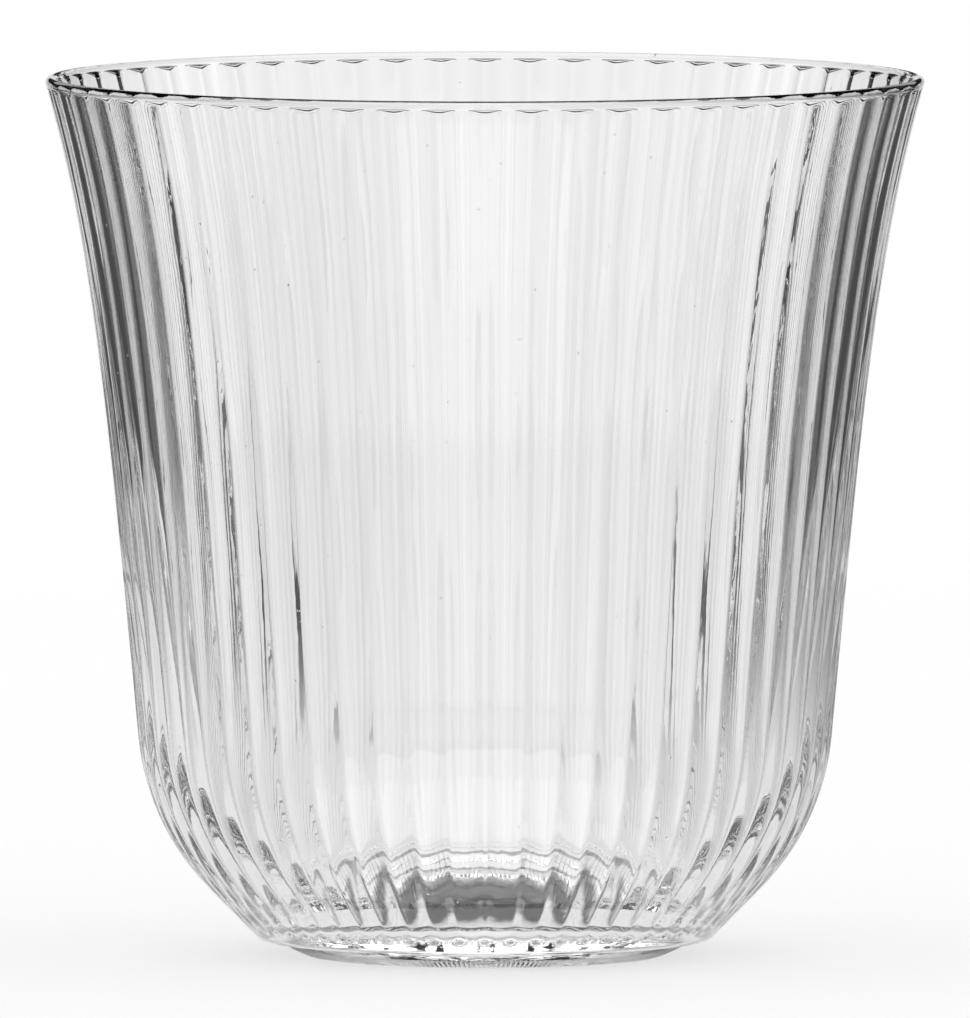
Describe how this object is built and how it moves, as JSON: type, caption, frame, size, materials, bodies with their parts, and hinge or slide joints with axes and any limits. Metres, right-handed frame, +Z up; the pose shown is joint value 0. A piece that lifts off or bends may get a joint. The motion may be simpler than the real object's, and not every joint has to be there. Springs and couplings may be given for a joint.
{
  "type": "fluted tea glass",
  "caption": "Clear drinking glass with a flared, vertically fluted bowl, a smooth thin lip and a rounded heel on a short foot. Holds a hot or cold drink.",
  "frame": {"origin": "centre of the bearing ring, on the surface that the glass stands on", "axes": "+Z up along the axis of the glass, towards the mouth; X and Y are level, with a groove between two flutes on +X"},
  "size_m": [0.088, 0.088, 0.088],
  "materials": {
    "clear_glass": "clear, fire-polished"
  },
  "bodies": {
    "root": {"foot": "clear_glass", "fluted_bowl": "clear_glass", "lip": "clear_glass"}
  },
  "joints": []
}
